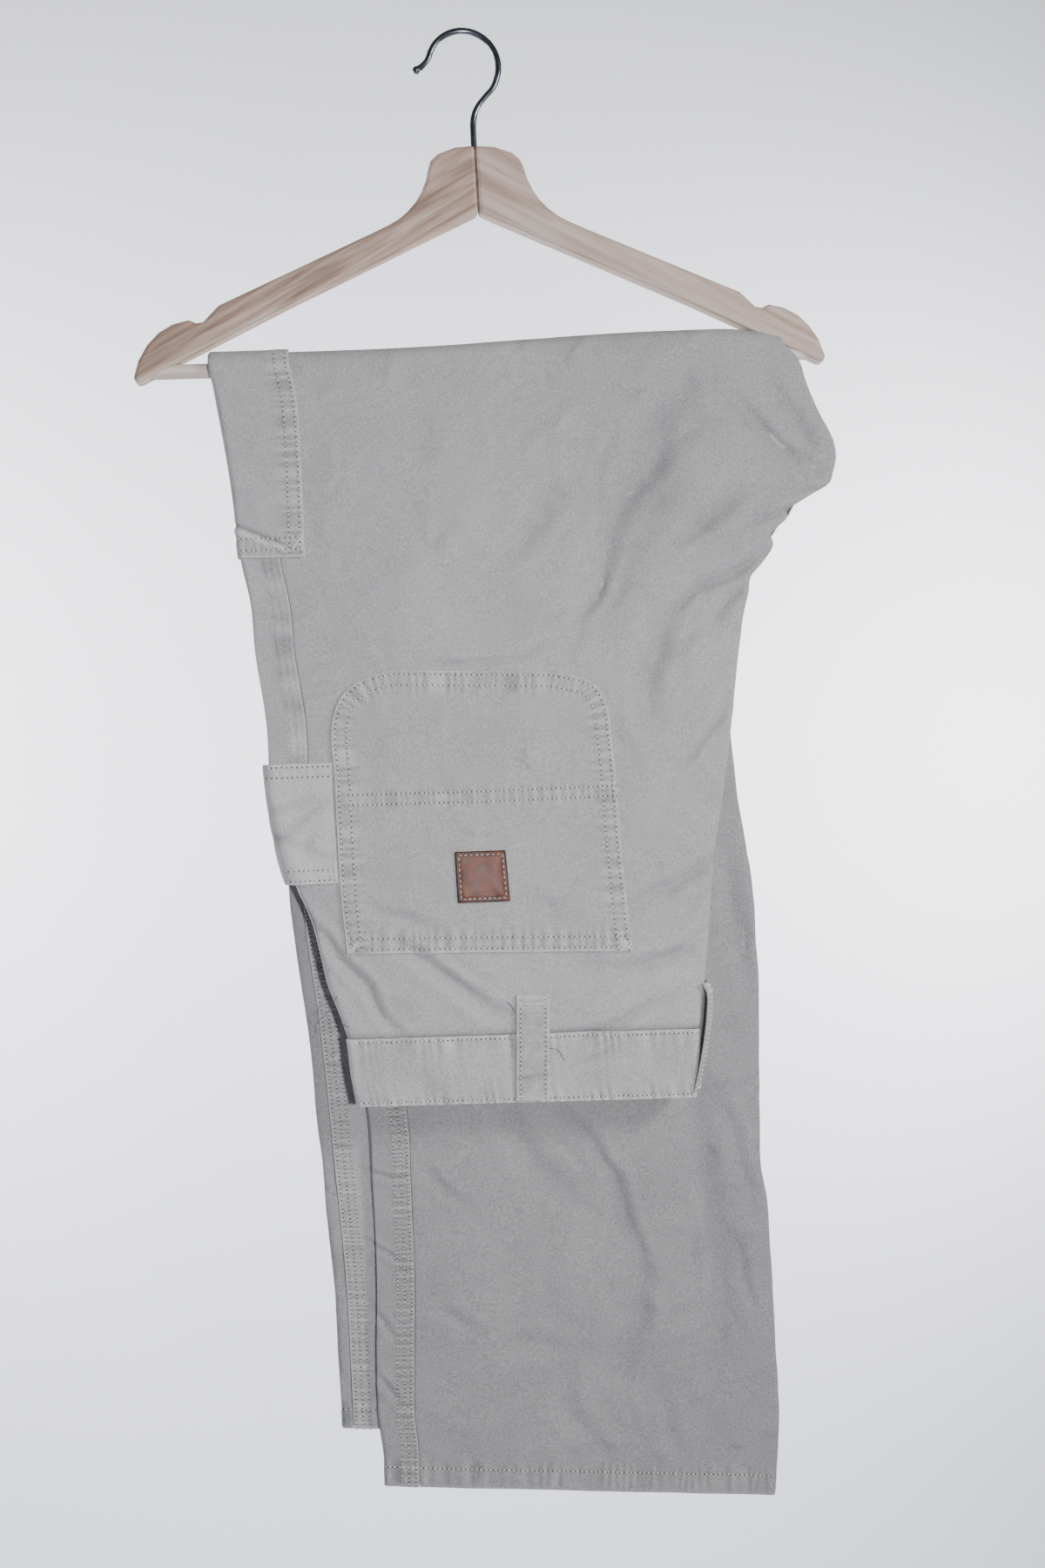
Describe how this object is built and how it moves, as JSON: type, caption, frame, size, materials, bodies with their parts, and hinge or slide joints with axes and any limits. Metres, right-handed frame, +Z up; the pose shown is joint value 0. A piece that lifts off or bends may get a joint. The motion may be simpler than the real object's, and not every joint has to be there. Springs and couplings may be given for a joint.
{
  "type": "carpenter pants on a wooden clothes hanger",
  "caption": "Washed canvas carpenter pants folded lengthwise and hung waist down over the bar of a wooden hanger, with back pockets, a side loop and a tool pocket.",
  "frame": {"origin": "inside of the hook's crown, where the hanger rests on a rail or peg", "axes": "+Z up, +X to the right and +Y away from the front, in which the waist half hangs"},
  "size_m": [0.4503, 0.0468, 0.9569],
  "materials": {
    "canvas": "washed light grey cotton canvas with a soft peached face and tonal stitching",
    "leather": "flat brown leather with a stitched border",
    "wood": "pale sanded beech with a thin matt lacquer",
    "steel_wire": "dark nickel plated steel wire",
    "brass": "antiqued brass"
  },
  "bodies": {
    "root": {"hanger_arm_left": "wood", "hanger_arm_right": "wood", "hanger_bar": "wood", "hanger_hook": "steel_wire", "right_back_panel": "canvas", "right_front_panel": "canvas", "left_front_panel": "canvas", "left_back_panel": "canvas", "waistband": "canvas", "right_back_pocket": "canvas", "left_back_pocket": "canvas", "pocket_patch": "leather", "hammer_loop": "canvas", "tool_pocket": "canvas", "belt_loop_centre_back": "canvas", "belt_loop_right_back": "canvas", "belt_loop_left_back": "canvas", "belt_loop_right_front": "canvas", "belt_loop_left_front": "canvas", "fly_facing": "canvas", "fly_zip": "brass", "waist_button": "brass"}
  },
  "joints": []
}
